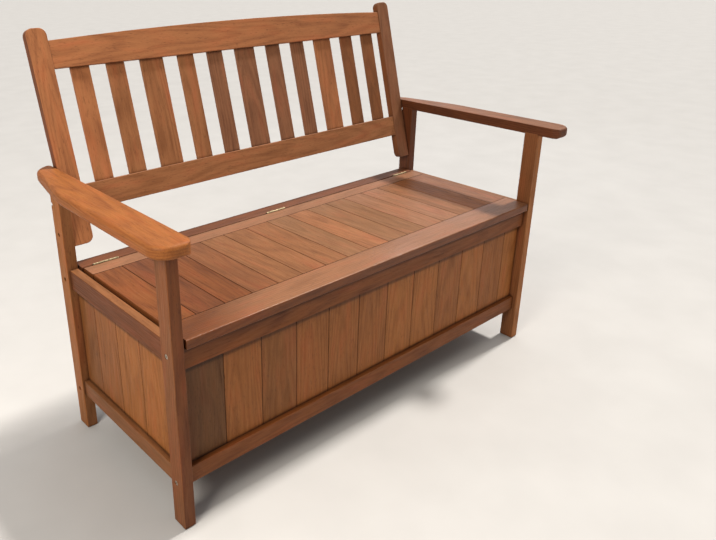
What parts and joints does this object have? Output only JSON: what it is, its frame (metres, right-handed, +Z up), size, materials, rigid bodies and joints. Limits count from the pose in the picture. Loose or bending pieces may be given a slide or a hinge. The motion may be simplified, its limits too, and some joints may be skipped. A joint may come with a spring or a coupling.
{
  "type": "garden storage bench",
  "caption": "Wooden two-seat garden bench with armrests and a leaning slatted back; the planked seat is a hinged lid over a panelled storage box",
  "frame": {"origin": "bottom centre of the bounding box, at floor level, midway between the armrest fronts and the rearmost point of the back", "axes": "+X to the right as seen from the front, +Y from front to rear, +Z up"},
  "size_m": [1.225, 0.6114, 0.8994],
  "materials": {
    "frame_wood": "oiled reddish-brown hardwood, satin",
    "armrest_wood": "oiled orange-brown hardwood, satin",
    "lid_wood": "oiled pinkish-brown hardwood planks, satin",
    "panel_wood": "oiled brown hardwood tongued planks, satin",
    "hinge_brass": "plain, slightly dulled",
    "fastener_steel": "zinc-plated"
  },
  "bodies": {
    "frame": {"leg_front_left": "frame_wood", "leg_front_right": "frame_wood", "leg_rear_left": "frame_wood", "leg_rear_right": "frame_wood", "armrest_left": "armrest_wood", "armrest_right": "armrest_wood", "back_stile_left": "frame_wood", "back_stile_right": "frame_wood", "back_top_rail": "frame_wood", "back_lower_rail": "frame_wood", "back_slat_01": "frame_wood", "back_slat_02": "frame_wood", "back_slat_03": "frame_wood", "back_slat_04": "frame_wood", "back_slat_05": "frame_wood", "back_slat_06": "frame_wood", "back_slat_07": "frame_wood", "back_slat_08": "frame_wood", "back_slat_09": "frame_wood", "back_slat_10": "frame_wood", "back_slat_11": "frame_wood", "front_top_rail": "frame_wood", "front_bottom_rail": "frame_wood", "rear_top_rail": "frame_wood", "rear_bottom_rail": "frame_wood", "side_top_rail_left": "frame_wood", "side_top_rail_right": "frame_wood", "side_bottom_rail_left": "frame_wood", "side_bottom_rail_right": "frame_wood", "hinge_rail": "frame_wood", "front_panel_planks": "panel_wood", "rear_panel_planks": "panel_wood", "side_panel_planks_left": "panel_wood", "side_panel_planks_right": "panel_wood", "floor_planks": "panel_wood", "support_cleats": "panel_wood", "frame_fasteners": "fastener_steel", "hinge_fixed_leaves": "hinge_brass", "hinge_pins": "hinge_brass"},
    "lid": {"lid_front_rail": "lid_wood", "lid_back_rail": "lid_wood", "lid_plank_01": "lid_wood", "lid_plank_02": "lid_wood", "lid_plank_03": "lid_wood", "lid_plank_04": "lid_wood", "lid_plank_05": "lid_wood", "lid_plank_06": "lid_wood", "lid_plank_07": "lid_wood", "lid_plank_08": "lid_wood", "lid_plank_09": "lid_wood", "lid_plank_10": "lid_wood", "lid_plank_11": "lid_wood", "lid_plank_12": "lid_wood", "lid_plank_13": "lid_wood", "lid_plank_14": "lid_wood", "lid_plank_15": "lid_wood", "lid_plank_16": "lid_wood", "lid_battens": "lid_wood", "hinge_moving_leaves": "hinge_brass", "lid_screws": "fastener_steel"}
  },
  "joints": [
    {"name": "lid_hinge", "type": "hinge", "parent": "frame", "child": "lid", "pos_m": [0, 0.15344, 0.413], "axis": [-1, 0, 0], "range_deg": [0, 105]}
  ]
}
